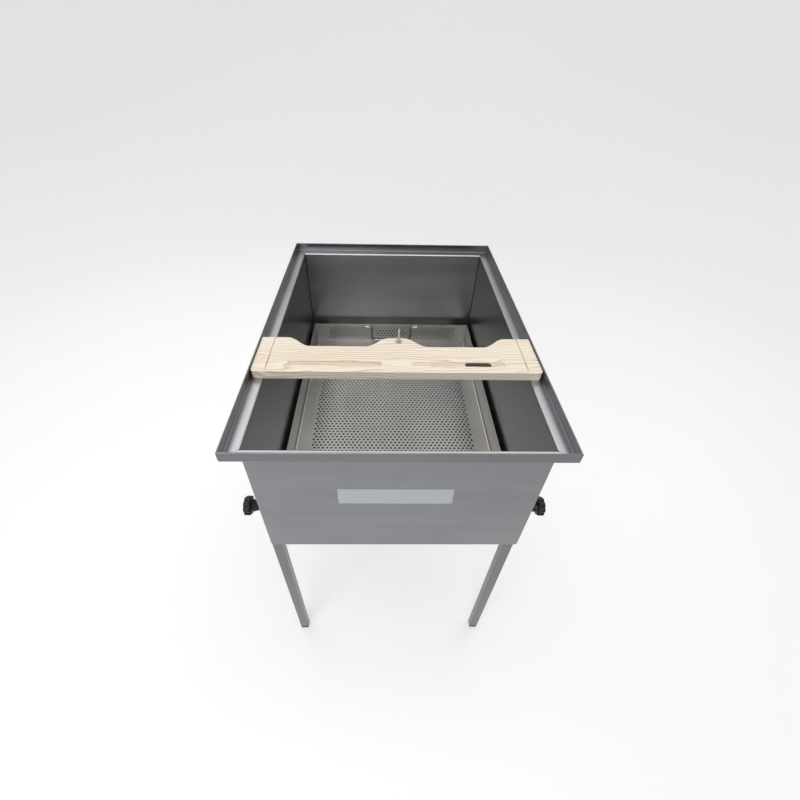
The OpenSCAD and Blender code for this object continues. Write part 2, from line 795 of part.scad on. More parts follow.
tub_front_wall();
tub_rear_wall();
tub_side_wall(-1);  // tub_left_wall
tub_side_wall(1);  // tub_right_wall
tub_floor();
rim_front();
rim_rear();
rim_left();
rim_right();
leg(-1, -1);  // leg_front_left
leg(1, -1);  // leg_front_right
leg(-1, 1);  // leg_rear_left
leg(1, 1);  // leg_rear_right
foot(-1, -1);  // foot_front_left
foot(1, -1);  // foot_front_right
foot(-1, 1);  // foot_rear_left
foot(1, 1);  // foot_rear_right
leg_guides();
leg_studs();
leg_washers();
knob(-1, -1);  // knob_front_left
knob(1, -1);  // knob_front_right
knob(-1, 1);  // knob_rear_left
knob(1, 1);  // knob_rear_right
knob_bush(-1, -1);  // knob_bush_front_left
knob_bush(1, -1);  // knob_bush_front_right
knob_bush(-1, 1);  // knob_bush_rear_left
knob_bush(1, 1);  // knob_bush_rear_right
basket_rail(1);  // basket_rail_left
basket_rail(0);  // basket_rail_right
basket_floor();
basket_front_wall();
basket_rear_wall();
basket_left_wall();
basket_right_wall();
handle_eyes(-1);  // handle_eyes_front
handle_eyes(1);  // handle_eyes_rear
basket_handle(-1);  // basket_handle_front
basket_handle(1);  // basket_handle_rear
frame_rest_bar();
frame_spike();
spike_washer();
spike_nut();
outlet_plate();
outlet_pipe();
gate_body();
gate_seal();
gate_blade();
gate_pivot_bolt();
gate_washer();
gate_wing_nut();
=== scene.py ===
import math

import bmesh
import bpy
from mathutils import Matrix, Vector


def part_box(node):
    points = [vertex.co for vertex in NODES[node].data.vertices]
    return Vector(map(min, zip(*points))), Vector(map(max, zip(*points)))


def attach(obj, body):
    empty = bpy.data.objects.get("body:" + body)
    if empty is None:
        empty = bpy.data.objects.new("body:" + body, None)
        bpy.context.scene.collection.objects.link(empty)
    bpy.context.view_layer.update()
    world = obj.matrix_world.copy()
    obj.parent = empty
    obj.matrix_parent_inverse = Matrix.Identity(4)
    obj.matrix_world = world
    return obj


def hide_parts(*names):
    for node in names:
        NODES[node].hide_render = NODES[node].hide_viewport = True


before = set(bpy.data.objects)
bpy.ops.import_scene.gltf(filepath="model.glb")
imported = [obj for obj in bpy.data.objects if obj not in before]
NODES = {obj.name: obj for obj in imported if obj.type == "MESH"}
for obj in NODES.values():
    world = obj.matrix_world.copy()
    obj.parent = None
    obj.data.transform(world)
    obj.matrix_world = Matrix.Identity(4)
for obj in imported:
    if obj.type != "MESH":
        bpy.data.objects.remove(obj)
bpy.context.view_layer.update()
MM = 0.001

# Camera of the photograph: its principal point and focal length in pixels, its angles in degrees,
# and its place from the middle of the rim's front top edge
PHOTO_PX = 800
FOCAL_PX = 410.97
CENTRE_PX = (389.08, 395.48)
PITCH, YAW, ROLL = 42.55, 1.456, -1.381
CAMERA_FROM_RIM = Vector((-27.0, -355.5, 433.6)) * MM
SENSOR_MM = 36.0
CLIP_START = 0.01

# Colours, as linear light
STEEL = (0.25, 0.256, 0.267)
# Painted light: lighter copies of the same steel for the inside of the tub's end and side walls, where more
# light falls than on their outer faces
END_STEEL_PAINTED_LIGHT = (0.60, 0.605, 0.615)
SIDE_STEEL_PAINTED_LIGHT = (0.28, 0.282, 0.286)
# Painted shade and painted light: a darker copy of the steel for the rim's outer lip, and a lighter copy for
# its ledge, the top that the light falls on
LIP_STEEL_PAINTED_SHADE = (0.19, 0.195, 0.204)
LEDGE_STEEL_PAINTED_LIGHT = (0.44, 0.445, 0.455)
BASKET_STEEL = (0.42, 0.41, 0.39)
# Painted light: a lighter copy of the basket's steel for its perforated end walls
BASKET_END_STEEL_PAINTED_LIGHT = (0.72, 0.71, 0.69)
LEG_STEEL = (0.19, 0.19, 0.19)
ROD_STEEL = (0.34, 0.34, 0.34)
SPIKE_STEEL = (0.5, 0.5, 0.5)
# Dark weld steel, its darkness partly painted shade along the tub's corners and the rim's mitres
WELD_STEEL_AND_PAINTED_SHADE = (0.10, 0.095, 0.09)
WOOD_PALE = (0.93, 0.84, 0.70)
WOOD_LATE = (0.50, 0.32, 0.17)
# Painted shadow: dark brown for the inside of the bar's knife slot
WOOD_SLOT_PAINTED_SHADOW = (0.10, 0.06, 0.035)
KNOB_BLACK = (0.012, 0.012, 0.014)
FOOT_BLACK = (0.02, 0.02, 0.02)
BRASS = (0.66, 0.47, 0.20)
NYLON = (0.74, 0.71, 0.60)
RUBBER = (0.02, 0.02, 0.02)
LABEL_FOIL = (0.54, 0.56, 0.60)
FLOOR_PALE = (0.82, 0.82, 0.82)

# Rolled steel: the part of a noise that a range spreads over, frequencies per metre across and along the
# rolling, ranges of tone, changes of roughness, and depths
WIDE = (0.15, 0.85)
STREAKS_ACROSS, STREAKS_ALONG, STREAK_TONE, STREAK_DEPTH = 700.0, 14.0, 0.01, 0.001 * MM
BANDS_ACROSS, BANDS_ALONG, BAND_TONE, BAND_ROUGH = 26.0, 1.4, (0.9, 1.08), 0.04
SMUDGES, SMUDGE_TONE, SMUDGE_ROUGH = 5.0, (0.84, 1.08), (-0.06, 0.07)
WAVES, SHEET_WAVE, LEG_WAVE, BASKET_WAVE = 5.0, 0.2 * MM, 0.08 * MM, 0.12 * MM
SHEET_ROUGH, BASKET_ROUGH = 0.31, 0.30

# Depth below the outer faces where the inside of the tub and the rim's ledge begin, and with them their
# painted light
WALL_SKIN, LIP_SKIN = 0.6 * MM, 3.0 * MM

# Drawn and turned metal: frequencies per metre across and along its lines, tones, change of roughness, depth
LINES_ACROSS, LINES_ALONG, LINE_TONE = 1400.0, 60.0, 0.08
LINE_ROUGH, LINE_DEPTH = (-0.06, 0.08), 0.02 * MM
METAL_CLOUDS, METAL_TONE = 60.0, (0.92, 1.06)

# Moulded plastic and rubber: frequencies per metre, and change of roughness
MOULD_CLOUDS, MOULD_GRAIN, MOULD_ROUGH = 45.0, 900.0, (-0.06, 0.1)

# Foil of the label: frequencies per metre, tones, roughness, and depth
FOIL_SCALE, FOIL_TONE = (40.0, 40.0, 900.0), (0.95, 1.05)
FOIL_ROUGH, FOIL_DEPTH = (0.32, 0.44), 0.01 * MM

# Wood of the bar: the heart of its rings before and below its near lower edge, the width and wander of the
# rings, their relief, their darkness as (place in the ring, value), and their strength
HEART_BEFORE, HEART_BELOW = 30 * MM, 55 * MM
RING_W, RING_DRIFT, RING_SWIRL, RING_DEPTH = 5.6 * MM, 19 * MM, 1.2 * MM, 0.05 * MM
RING_ENDS = ((0.0, 0.10), (1.0, 0.25))
RING_MIDDLE = ((0.40, 0.03), (0.78, 0.60), (0.92, 0.95))
RING_STRENGTH = (0.14, 0.95)
# Frequencies per metre of the wood's noises, and the looks of its fibres and pores
DRIFT_SCALE, SWIRL_SCALE, STRENGTH_SCALE = (3.2, 11.0, 11.0), (14.0, 40.0, 40.0), (4.0, 30.0, 30.0)
FIBRE_SCALE, FIBRE_TONE = (22.0, 1500.0, 1500.0), (0.95, 1.05)
FIBRE_ROUGH, FIBRE_DEPTH = (0.5, 0.66), 0.06 * MM
PORE_SCALE, PORE_SHARE, PORE_RANGE = (60.0, 2200.0, 2200.0), (0.0, 0.35), (0.64, 0.74)
# Painted shade in the bar's sawn grooves and painted shadow in its knife slot: their band across the bar,
# depths below its top, the slot's ends along the bar, and the strength of the painted shade
GROOVE_NEAR, GROOVE_FAR = 16.5 * MM, 29.5 * MM
GROOVE_SKIN, KERF_DEPTH = 0.8 * MM, 3.2 * MM
SLOT_START, SLOT_END, SLOT_SKIN = 116.5 * MM, 163.5 * MM, 2.0 * MM
GROOVE_SHADE, SLOT_SHADE = 0.3, 0.85

# Rounded edges: radii, steps, the least angle of an edge in degrees, and the reach that joins points first
BAR_ROUND, GATE_ROUND, NUT_ROUND, SHEET_ROUND = 1.2 * MM, 0.9 * MM, 0.7 * MM, 0.4 * MM
ROUND_STEPS, SHEET_STEPS, ROUND_ANGLE, JOIN_REACH = 3, 2, 40, 0.005 * MM

# Perforation of the basket: its holes, the angle of their rows in degrees, the plain margins, and the reach
# that joins the cells
HOLE_D, HOLE_PITCH, HOLE_SIDES, ROW_ANGLE = 5.4 * MM, 9.5 * MM, 12, 60
FIELD_SIDE, FIELD_END, FIELD_WALL = 33.0 * MM, 25.0 * MM, 8.0 * MM
CELL_JOIN = HOLE_PITCH / 100

# Rounded folds beside the basket's floor: radius, steps, reach into the sheets, and the angle of a sharp edge
BEND_R, BEND_STEPS, BEND_BACK, BEND_SMOOTH = 4.0 * MM, 10, 0.4 * MM, 40

# Section of a knob in millimetres: radius, height from the leg, share of the flutes' depth
KNOB_ROWS = [
    (0, 18, 0), (6.6, 18, 0), (6.6, 0.6, 0), (7.1, 0, 0), (8.4, 0, 0), (9, 0.7, 0), (9.3, 2.5, 0),
    (10.2, 6, 0), (11.2, 9.5, 0), (11.9, 12.2, 0), (12.8, 13.6, 0), (14, 14, 0.1), (15.8, 14.1, 0.6),
    (17, 14.6, 0.9), (17.7, 15.5, 1), (18, 16.8, 1), (18, 24, 1), (17.8, 25.2, 1), (17.2, 26.2, 0.95),
    (16.2, 26.8, 0.7), (15, 27, 0.3), (13.2, 26.9, 0), (12.4, 26.5, 0), (11.9, 25.6, 0), (11.5, 25.4, 0),
    (11.1, 25.6, 0), (10.6, 26.4, 0), (9.8, 26.7, 0), (5, 26.9, 0), (0, 27, 0),
]
KNOB_STEPS, KNOB_FLUTES, KNOB_FLUTE_DEPTH, KNOB_SMOOTH = 128, 8, 3.2 * MM, 50

# Weld beads: radii, spacing of their points, sides, the angle of a sharp edge, and a ripple of so many points
WELD_R, SEAM_R, OUTLET_WELD_R = 1.3 * MM, 0.6 * MM, 1.0 * MM
WELD_STEP, WELD_SIDES, WELD_SMOOTH = 1.1 * MM, 8, 60
RIPPLE, RIPPLE_POINTS = 0.14, 3
# Places of the beads: in from the faces of a corner, above the foot of a wall, in from the rim's outer faces,
# below the ledge, and the gap between the ledge and the bar
WELD_IN, WELD_RISE = 0.5 * MM, 6 * MM
MITRE_INSET, MITRE_SINK, BAR_PLAY = 4.5 * MM, 0.45 * MM, 0.2 * MM

# Blank label on the front wall
LABEL_W, LABEL_H, LABEL_T = 185.6 * MM, 40.0 * MM, 0.3 * MM
LABEL_CORNER, LABEL_STEPS = 2.0 * MM, 6
LABEL_MIDDLE_X, LABEL_UNDER_RIM = -2.8 * MM, 133.0 * MM

# Floor and backdrop: sizes in metres, and the brightness gained where they are looked at, directly or in a
# reflection
STAGE_R, STAGE_TOP, STAGE_STEPS = 4.2, 5.0, 96
COVE_R, COVE_STEPS = 1.6, 12
FLOOR_ROUGH, FLOOR_GLOSS, FLOOR_LIFT = 0.9, 0.1, 0.39

# Room light as it lights and as it is seen, and the lamps: name, place, aim and size in metres, radiance
ROOM_LIGHT, ROOM_SHOWN = 0.3, 0.95
LAMPS = (
    ("ceiling_lamp_left", (-1.7, 1.3, 2.6), (0, 0, 0.6), (2.3, 2.3), 1.0),
    ("ceiling_lamp_right", (1.9, 1.3, 2.6), (0, 0, 0.6), (2.3, 2.3), 0.7),
    ("ceiling_lamp_middle", (0.1, -0.2, 2.6), (0, -0.1, 0.6), (1.6, 1.2), 2.3),
    ("front_lamp", (-1.0, -2.2, 1.9), (0, 0, 0.85), (1.8, 1.3), 3.2),
)

SIDES = (("left", -1), ("right", 1))
CORNERS = [(end + "_" + side, sx) for end in ("front", "rear") for side, sx in SIDES]


def add(tree, kind, inputs=None, **settings):
    """Adds a shader node, with its settings and its inputs set or linked."""
    made = tree.nodes.new("ShaderNode" + kind)
    for name, value in settings.items():
        setattr(made, name, value)
    for name, value in (inputs or {}).items():
        if isinstance(value, bpy.types.NodeSocket):
            tree.links.new(value, made.inputs[name])
        else:
            made.inputs[name].default_value = value
    return made


def stretched(across, along, axis):
    """Scales for the three axes: one along an axis and one across it."""
    return [along if name == axis else across for name in "XYZ"]


def scaled(tree, place, scale):
    """Coordinates stretched by a scale for each axis."""
    return add(tree, "Mapping", {"Vector": place, "Scale": scale}).outputs["Vector"]


def noise(tree, place, scale=1.0, detail=3.0, rough=0.55):
    """A noise value between 0 and 1."""
    made = add(tree, "TexNoise", {"Vector": place, "Scale": scale, "Detail": detail, "Roughness": rough})
    return made.outputs[0]


def spread(tree, value, low, high, start=0.25, end=0.75):
    """Maps a noise value onto a range."""
    inputs = {"Value": value, "From Min": start, "From Max": end, "To Min": low, "To Max": high}
    return add(tree, "MapRange", inputs).outputs["Result"]


def maths(tree, operation, a, b=0.0):
    """The result of one operation on two values."""
    return add(tree, "Math", {0: a, 1: b}, operation=operation).outputs[0]


def between(tree, value, low, high):
    """1 where a value lies between two limits, and else 0."""
    above, below = maths(tree, "GREATER_THAN", value, low), maths(tree, "LESS_THAN", value, high)
    return maths(tree, "MULTIPLY", above, below)


def within(tree, place, low, high):
    """1 inside an upright shaft between two corners, and else 0."""
    at = add(tree, "SeparateXYZ", {0: place}).outputs
    across = between(tree, at["X"], low.x, high.x)
    return maths(tree, "MULTIPLY", across, between(tree, at["Y"], low.y, high.y))


def mixed(tree, factor, a, b, blend="MIX"):
    """A mix of two colours."""
    made = add(tree, "Mix", data_type="RGBA", blend_type=blend)
    for index, value in ((0, factor), (6, a), (7, b)):
        if isinstance(value, bpy.types.NodeSocket):
            tree.links.new(value, made.inputs[index])
        else:
            made.inputs[index].default_value = value if index == 0 else (*value, 1.0)
    return made.outputs[2]


def toned(tree, colour, tone):
    """A colour made lighter and darker by a value around 1."""
    grey = add(tree, "CombineColor", {0: tone, 1: tone, 2: tone}).outputs[0]
    return mixed(tree, 1.0, colour, grey, "MULTIPLY")


def bumped(tree, shader, *layers):
    """Bumps a shader with layers of (height, distance)."""
    normal = None
    for height, distance in layers:
        inputs = {"Height": height, "Distance": distance, "Strength": 1.0}
        if normal is not None:
            inputs["Normal"] = normal
        normal = add(tree, "Bump", inputs).outputs["Normal"]
    tree.links.new(normal, shader.inputs["Normal"])


def material(name):
    """A new material: (material, its node tree, its shader, object coordinates)."""
    made = bpy.data.materials.new(name)
    made.use_nodes = True
    tree = made.node_tree
    return made, tree, tree.nodes["Principled BSDF"], add(tree, "TexCoord").outputs["Object"]


def steel(name, colour, rough, along, wave=SHEET_WAVE, shaft=None, inner=None):
    """Rolled steel sheet: faint streaks and broad bands along one axis, soft smudges, and shallow waves.

    Inside a shaft between two corners it takes the inner colour: painted light, a lighter copy of the steel
    for the inside of the tub and the rim's ledge.
    """
    made, tree, shader, place = material(name)
    fine, broad = stretched(STREAKS_ACROSS, STREAKS_ALONG, along), stretched(BANDS_ACROSS, BANDS_ALONG, along)
    streaks = noise(tree, scaled(tree, place, fine), detail=2.0)
    bands = noise(tree, scaled(tree, place, broad), detail=2.0)
    smudges = noise(tree, place, SMUDGES)
    waves = noise(tree, place, WAVES, detail=1.0)
    streak = spread(tree, streaks, -STREAK_TONE, STREAK_TONE)
    tone = maths(tree, "ADD", streak, spread(tree, smudges, *SMUDGE_TONE, *WIDE))
    tone = maths(tree, "MULTIPLY", tone, spread(tree, bands, *BAND_TONE, *WIDE))
    if shaft:
        # Painted light: the lighter inner colour inside the shaft
        colour = mixed(tree, within(tree, place, *shaft), colour, inner)
    tree.links.new(toned(tree, colour, tone), shader.inputs["Base Color"])
    band = spread(tree, bands, -BAND_ROUGH, BAND_ROUGH, *WIDE)
    smudge = spread(tree, smudges, rough + SMUDGE_ROUGH[0], rough + SMUDGE_ROUGH[1], *WIDE)
    tree.links.new(maths(tree, "ADD", band, smudge), shader.inputs["Roughness"])
    shader.inputs["Metallic"].default_value = 1.0
    bumped(tree, shader, (waves, wave), (streaks, STREAK_DEPTH))
    return made


def growth_rings(tree, place, heart):
    """The darkness of growth rings about a heart along X."""
    drift = noise(tree, scaled(tree, place, DRIFT_SCALE))
    swirl = noise(tree, scaled(tree, place, SWIRL_SCALE), detail=2.0)
    moved = add(tree, "Mapping", {"Vector": place, "Location": heart}).outputs["Vector"]
    split = add(tree, "SeparateXYZ", {0: moved}).outputs
    squares = [maths(tree, "POWER", split[axis], 2.0) for axis in ("Y", "Z")]
    reach = maths(tree, "SQRT", maths(tree, "ADD", *squares))
    reach = maths(tree, "ADD", reach, spread(tree, drift, -RING_DRIFT, RING_DRIFT))
    reach = maths(tree, "ADD", reach, spread(tree, swirl, -RING_SWIRL, RING_SWIRL))
    ring = maths(tree, "FRACT", maths(tree, "DIVIDE", reach, RING_W))
    late = add(tree, "ValToRGB", {"Fac": ring})
    elements = late.color_ramp.elements
    for element, (position, value) in zip(elements, RING_ENDS):
        element.position, element.color = position, (value, value, value, 1)
    for position, value in RING_MIDDLE:
        elements.new(position).color = (value, value, value, 1)
    return late.outputs["Color"]


def wood():
    """Pale planed board: growth rings about a heart below the board, fibres and short dark pores along X,
    with painted shade in its grooves and painted shadow in its knife slot.
    """
    made, tree, shader, place = material("wood_board")
    low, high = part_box("frame_rest_bar")
    late = growth_rings(tree, place, (0.0, HEART_BEFORE - low.y, HEART_BELOW - low.z))
    strength = noise(tree, scaled(tree, place, STRENGTH_SCALE), detail=2.0)
    share = maths(tree, "MULTIPLY", late, spread(tree, strength, *RING_STRENGTH))
    colour = mixed(tree, share, WOOD_PALE, WOOD_LATE)
    fibres = noise(tree, scaled(tree, place, FIBRE_SCALE))
    pores = noise(tree, scaled(tree, place, PORE_SCALE), detail=1.0)
    colour = mixed(tree, spread(tree, pores, *PORE_SHARE, *PORE_RANGE), colour, WOOD_LATE)
    at = add(tree, "SeparateXYZ", {0: place}).outputs
    # Painted shade on the grooves' walls, darkened towards the late wood
    across = between(tree, at["Y"], low.y + GROOVE_NEAR, low.y + GROOVE_FAR)
    sunk = between(tree, at["Z"], high.z - KERF_DEPTH, high.z - GROOVE_SKIN)
    groove = maths(tree, "MULTIPLY", across, sunk)
    colour = mixed(tree, maths(tree, "MULTIPLY", groove, GROOVE_SHADE), colour, WOOD_LATE)
    # Painted shadow on the knife slot's walls below its top, darkened towards a dark brown
    slot = maths(tree, "MULTIPLY", across, between(tree, at["X"], SLOT_START, SLOT_END))
    slot = maths(tree, "MULTIPLY", slot, maths(tree, "LESS_THAN", at["Z"], high.z - SLOT_SKIN))
    colour = mixed(tree, maths(tree, "MULTIPLY", slot, SLOT_SHADE), colour, WOOD_SLOT_PAINTED_SHADOW)
    tree.links.new(toned(tree, colour, spread(tree, fibres, *FIBRE_TONE)), shader.inputs["Base Color"])
    tree.links.new(spread(tree, fibres, *FIBRE_ROUGH), shader.inputs["Roughness"])
    bumped(tree, shader, (fibres, FIBRE_DEPTH), (late, RING_DEPTH))
    return made


def moulded(name, colour, rough, grain=0.04 * MM, change=0.12, gloss=0.5):
    """Moulded plastic or rubber: soft colour change, fine moulded grain and uneven gloss."""
    made, tree, shader, place = material(name)
    clouds = noise(tree, place, MOULD_CLOUDS, detail=4.0)
    fine = noise(tree, place, MOULD_GRAIN, detail=2.0)
    tone = spread(tree, clouds, 1 - change, 1 + change)
    tree.links.new(toned(tree, colour, tone), shader.inputs["Base Color"])
    uneven = spread(tree, clouds, rough + MOULD_ROUGH[0], rough + MOULD_ROUGH[1])
    tree.links.new(uneven, shader.inputs["Roughness"])
    shader.inputs["Specular IOR Level"].default_value = gloss
    bumped(tree, shader, (fine, grain))
    return made


def turned_metal(name, colour, rough, along):
    """Drawn or turned metal: fine rings or draw lines and small tone changes."""
    made, tree, shader, place = material(name)
    lines = noise(tree, scaled(tree, place, stretched(LINES_ACROSS, LINES_ALONG, along)))
    clouds = noise(tree, place, METAL_CLOUDS)
    tone = maths(tree, "ADD", spread(tree, lines, -LINE_TONE, LINE_TONE), spread(tree, clouds, *METAL_TONE))
    tree.links.new(toned(tree, colour, tone), shader.inputs["Base Color"])
    uneven = spread(tree, lines, rough + LINE_ROUGH[0], rough + LINE_ROUGH[1])
    tree.links.new(uneven, shader.inputs["Roughness"])
    shader.inputs["Metallic"].default_value = 1.0
    bumped(tree, shader, (lines, LINE_DEPTH))
    return made


def label_foil():
    """Satin foil of a blank label."""
    made, tree, shader, place = material("label_foil")
    grain = noise(tree, scaled(tree, place, FOIL_SCALE), detail=2.0)
    tree.links.new(toned(tree, LABEL_FOIL, spread(tree, grain, *FOIL_TONE)), shader.inputs["Base Color"])
    tree.links.new(spread(tree, grain, *FOIL_ROUGH), shader.inputs["Roughness"])
    bumped(tree, shader, (grain, FOIL_DEPTH))
    return made


def shaft_of(prefix, suffix, skin):
    """The corners of the shaft that four sides enclose, a skin inside their outer faces."""
    inset = Vector((skin, skin, 0))
    boxes = [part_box(prefix + side + suffix) for side in ("left", "right", "front", "rear")]
    low = Vector(min(box[0][i] for box in boxes) for i in range(3))
    high = Vector(max(box[1][i] for box in boxes) for i in range(3))
    return low + inset, high - inset


# Inside these shafts the tub's walls and the rim's ledge take a lighter copy of their steel, painted light;
# the rim's lip outside it takes a darker copy, painted shade
TUB_SHAFT, RIM_SHAFT = shaft_of("tub_", "_wall", WALL_SKIN), shaft_of("rim_", "", LIP_SKIN)
STEEL_END_PAINTED_LIGHT_INSIDE = steel("steel_end_wall_painted_light_inside", STEEL, SHEET_ROUGH, "X", shaft=TUB_SHAFT, inner=END_STEEL_PAINTED_LIGHT)
STEEL_SIDE_PAINTED_LIGHT_INSIDE = steel("steel_side_wall_painted_light_inside", STEEL, SHEET_ROUGH, "Y", shaft=TUB_SHAFT, inner=SIDE_STEEL_PAINTED_LIGHT)
RIM_X_PAINTED_LIGHT_AND_SHADE = steel("steel_rim_x_painted_light_and_shade", LIP_STEEL_PAINTED_SHADE, SHEET_ROUGH, "X", shaft=RIM_SHAFT, inner=LEDGE_STEEL_PAINTED_LIGHT)
RIM_Y_PAINTED_LIGHT_AND_SHADE = steel("steel_rim_y_painted_light_and_shade", LIP_STEEL_PAINTED_SHADE, SHEET_ROUGH, "Y", shaft=RIM_SHAFT, inner=LEDGE_STEEL_PAINTED_LIGHT)
STEEL_X = steel("steel_sheet_x", STEEL, SHEET_ROUGH, "X")
STEEL_Y = steel("steel_sheet_y", STEEL, SHEET_ROUGH, "Y")
STEEL_LEG = steel("steel_leg_tube", LEG_STEEL, SHEET_ROUGH, "Z", LEG_WAVE)
STEEL_BASKET = steel("steel_basket_sheet", BASKET_STEEL, BASKET_ROUGH, "Y", BASKET_WAVE)
# Painted light: the basket's end walls in a lighter copy of its steel
STEEL_BASKET_END_PAINTED_LIGHT = steel("steel_basket_end_painted_light", BASKET_END_STEEL_PAINTED_LIGHT, BASKET_ROUGH, "X", BASKET_WAVE)
ROD = turned_metal("steel_drawn_rod", ROD_STEEL, rough=0.28, along="X")
SPIKE = turned_metal("steel_spike", SPIKE_STEEL, rough=0.26, along="Z")
# Dark weld beads, partly painted shade in the corners they run along
WELD = turned_metal("steel_weld_and_painted_shade", WELD_STEEL_AND_PAINTED_SHADE, rough=0.42, along="Z")
PIPE = turned_metal("steel_pipe", SPIKE_STEEL, rough=0.34, along="Y")
BUSH = turned_metal("brass_turned", BRASS, rough=0.3, along="X")
WOOD = wood()
KNOB = moulded("plastic_black_gloss", KNOB_BLACK, rough=0.24, grain=0.015 * MM, change=0.3, gloss=0.3)
FOOT = moulded("plastic_black_matte", FOOT_BLACK, rough=0.55)
GATE = moulded("plastic_ivory", NYLON, rough=0.42, grain=0.02 * MM, change=0.05)
SEAL = moulded("rubber_black", RUBBER, rough=0.6)
LABEL = label_foil()

# The finish of each node that stays
FINISH = {
    "tub_front_wall": STEEL_END_PAINTED_LIGHT_INSIDE, "tub_rear_wall": STEEL_END_PAINTED_LIGHT_INSIDE,
    "tub_left_wall": STEEL_SIDE_PAINTED_LIGHT_INSIDE, "tub_right_wall": STEEL_SIDE_PAINTED_LIGHT_INSIDE, "tub_floor": STEEL_Y,
    "rim_front": RIM_X_PAINTED_LIGHT_AND_SHADE, "rim_rear": RIM_X_PAINTED_LIGHT_AND_SHADE, "rim_left": RIM_Y_PAINTED_LIGHT_AND_SHADE, "rim_right": RIM_Y_PAINTED_LIGHT_AND_SHADE,
    "leg_guides": STEEL_Y, "basket_rail_left": STEEL_Y, "basket_rail_right": STEEL_Y,
    "outlet_plate": STEEL_X, "outlet_pipe": PIPE,
    "basket_left_wall": STEEL_BASKET, "basket_right_wall": STEEL_BASKET, "frame_rest_bar": WOOD,
    "frame_spike": SPIKE, "spike_washer": SPIKE, "spike_nut": SPIKE,
    "gate_body": GATE, "gate_blade": GATE, "gate_seal": SEAL,
    "handle_eyes_front": ROD, "handle_eyes_rear": ROD, "basket_handle_front": ROD, "basket_handle_rear": ROD,
    "leg_studs": ROD, "leg_washers": ROD, "gate_pivot_bolt": ROD, "gate_washer": ROD, "gate_wing_nut": ROD,
}
for corner, _ in CORNERS:
    FINISH.update({"leg_" + corner: STEEL_LEG, "foot_" + corner: FOOT, "knob_bush_" + corner: BUSH})

# The rounding of edges: radius and steps for each node that has it
ROUNDED = {
    "frame_rest_bar": (BAR_ROUND, ROUND_STEPS), "gate_body": (GATE_ROUND, ROUND_STEPS),
    "gate_blade": (GATE_ROUND, ROUND_STEPS), "gate_wing_nut": (NUT_ROUND, ROUND_STEPS),
}
SHEET_NODES = (
    "tub_front_wall", "tub_rear_wall", "tub_left_wall", "tub_right_wall",
    "rim_front", "rim_rear", "rim_left", "rim_right", "basket_left_wall", "basket_right_wall",
)
ROUNDED.update({node: (SHEET_ROUND, SHEET_STEPS) for node in SHEET_NODES})


def dress_nodes():
    """Gives every node of the frame its finish."""
    for node, finish in FINISH.items():
        for slot in NODES[node].material_slots:
            slot.material = finish


def soften(node, width, segments):
    """Rounds a node's edges with modifiers, and leaves its mesh as it is."""
    part = NODES[node]
    join = part.modifiers.new("join", "WELD")
    join.merge_threshold = JOIN_REACH
    bevel = part.modifiers.new("round_edges", "BEVEL")
    bevel.width = width
    bevel.segments = segments
    bevel.limit_method = "ANGLE"
    bevel.angle_limit = math.radians(ROUND_ANGLE)
    normals = part.modifiers.new("even_normals", "WEIGHTED_NORMAL")
    normals.keep_sharp = False


def piece(name, mesh_data, finish, body, replaces=(), smooth=None):
    """Makes a piece from a bmesh that is already in place."""
    mesh = bpy.data.meshes.new(name)
    mesh_data.normal_update()
    mesh_data.to_mesh(mesh)
    mesh_data.free()
    mesh.materials.append(finish)
    if smooth is not None:
        mesh.shade_smooth()
        mesh.set_sharp_from_angle(angle=math.radians(smooth))
    made = bpy.data.objects.new(name, mesh)
    bpy.context.scene.collection.objects.link(made)
    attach(made, body)
    if replaces:
        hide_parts(*replaces)
    return made


def hole_cell(sheet, x, y):
    """One round hole and the six-sided cell around it; gives the points of the hole."""
    inner, outer = [], []
    for i in range(HOLE_SIDES):
        angle = 2 * math.pi * i / HOLE_SIDES
        reach = HOLE_PITCH / 2 if i % 2 == 0 else HOLE_PITCH / math.sqrt(3)
        inner.append(sheet.verts.new((x + HOLE_D / 2 * math.cos(angle), y + HOLE_D / 2 * math.sin(angle), 0)))
        outer.append(sheet.verts.new((x + reach * math.cos(angle), y + reach * math.sin(angle), 0)))
    for i in range(HOLE_SIDES):
        j = (i + 1) % HOLE_SIDES
        sheet.faces.new((inner[i], outer[i], outer[j], inner[j]))
    return inner


def perforated(half_x, half_y, field_x, field_y):
    """A flat sheet about the origin with staggered round holes over a centred field."""
    sheet = bmesh.new()
    row_step = HOLE_PITCH * math.sin(math.radians(ROW_ANGLE))
    rows = int((field_y - HOLE_D / 2) / row_step)
    columns = int((field_x - HOLE_D / 2) / HOLE_PITCH)
    hole_points = set()
    for row in range(-rows, rows + 1):
        odd = row % 2
        for column in range(-columns, columns + 1 - odd):
            hole_points.update(hole_cell(sheet, (column + odd / 2) * HOLE_PITCH, row * row_step))
    bmesh.ops.remove_doubles(sheet, verts=sheet.verts, dist=CELL_JOIN)
    edges = [e for e in sheet.edges if e.is_boundary and not hole_points.intersection(e.verts)]
    signs = ((-1, -1), (1, -1), (1, 1), (-1, 1))
    corners = [sheet.verts.new((sx * half_x, sy * half_y, 0)) for sx, sy in signs]
    edges += [sheet.edges.new((corners[i], corners[(i + 1) % 4])) for i in range(4)]
    bmesh.ops.triangle_fill(sheet, edges=edges, use_beauty=True, normal=(0, 0, 1))
    bmesh.ops.recalc_face_normals(sheet, faces=sheet.faces)
    return sheet


def thicken(made, thickness):
    """Gives a flat sheet its thickness, centred on the sheet."""
    solid = made.modifiers.new("thickness", "SOLIDIFY")
    solid.thickness = thickness
    solid.offset = 0


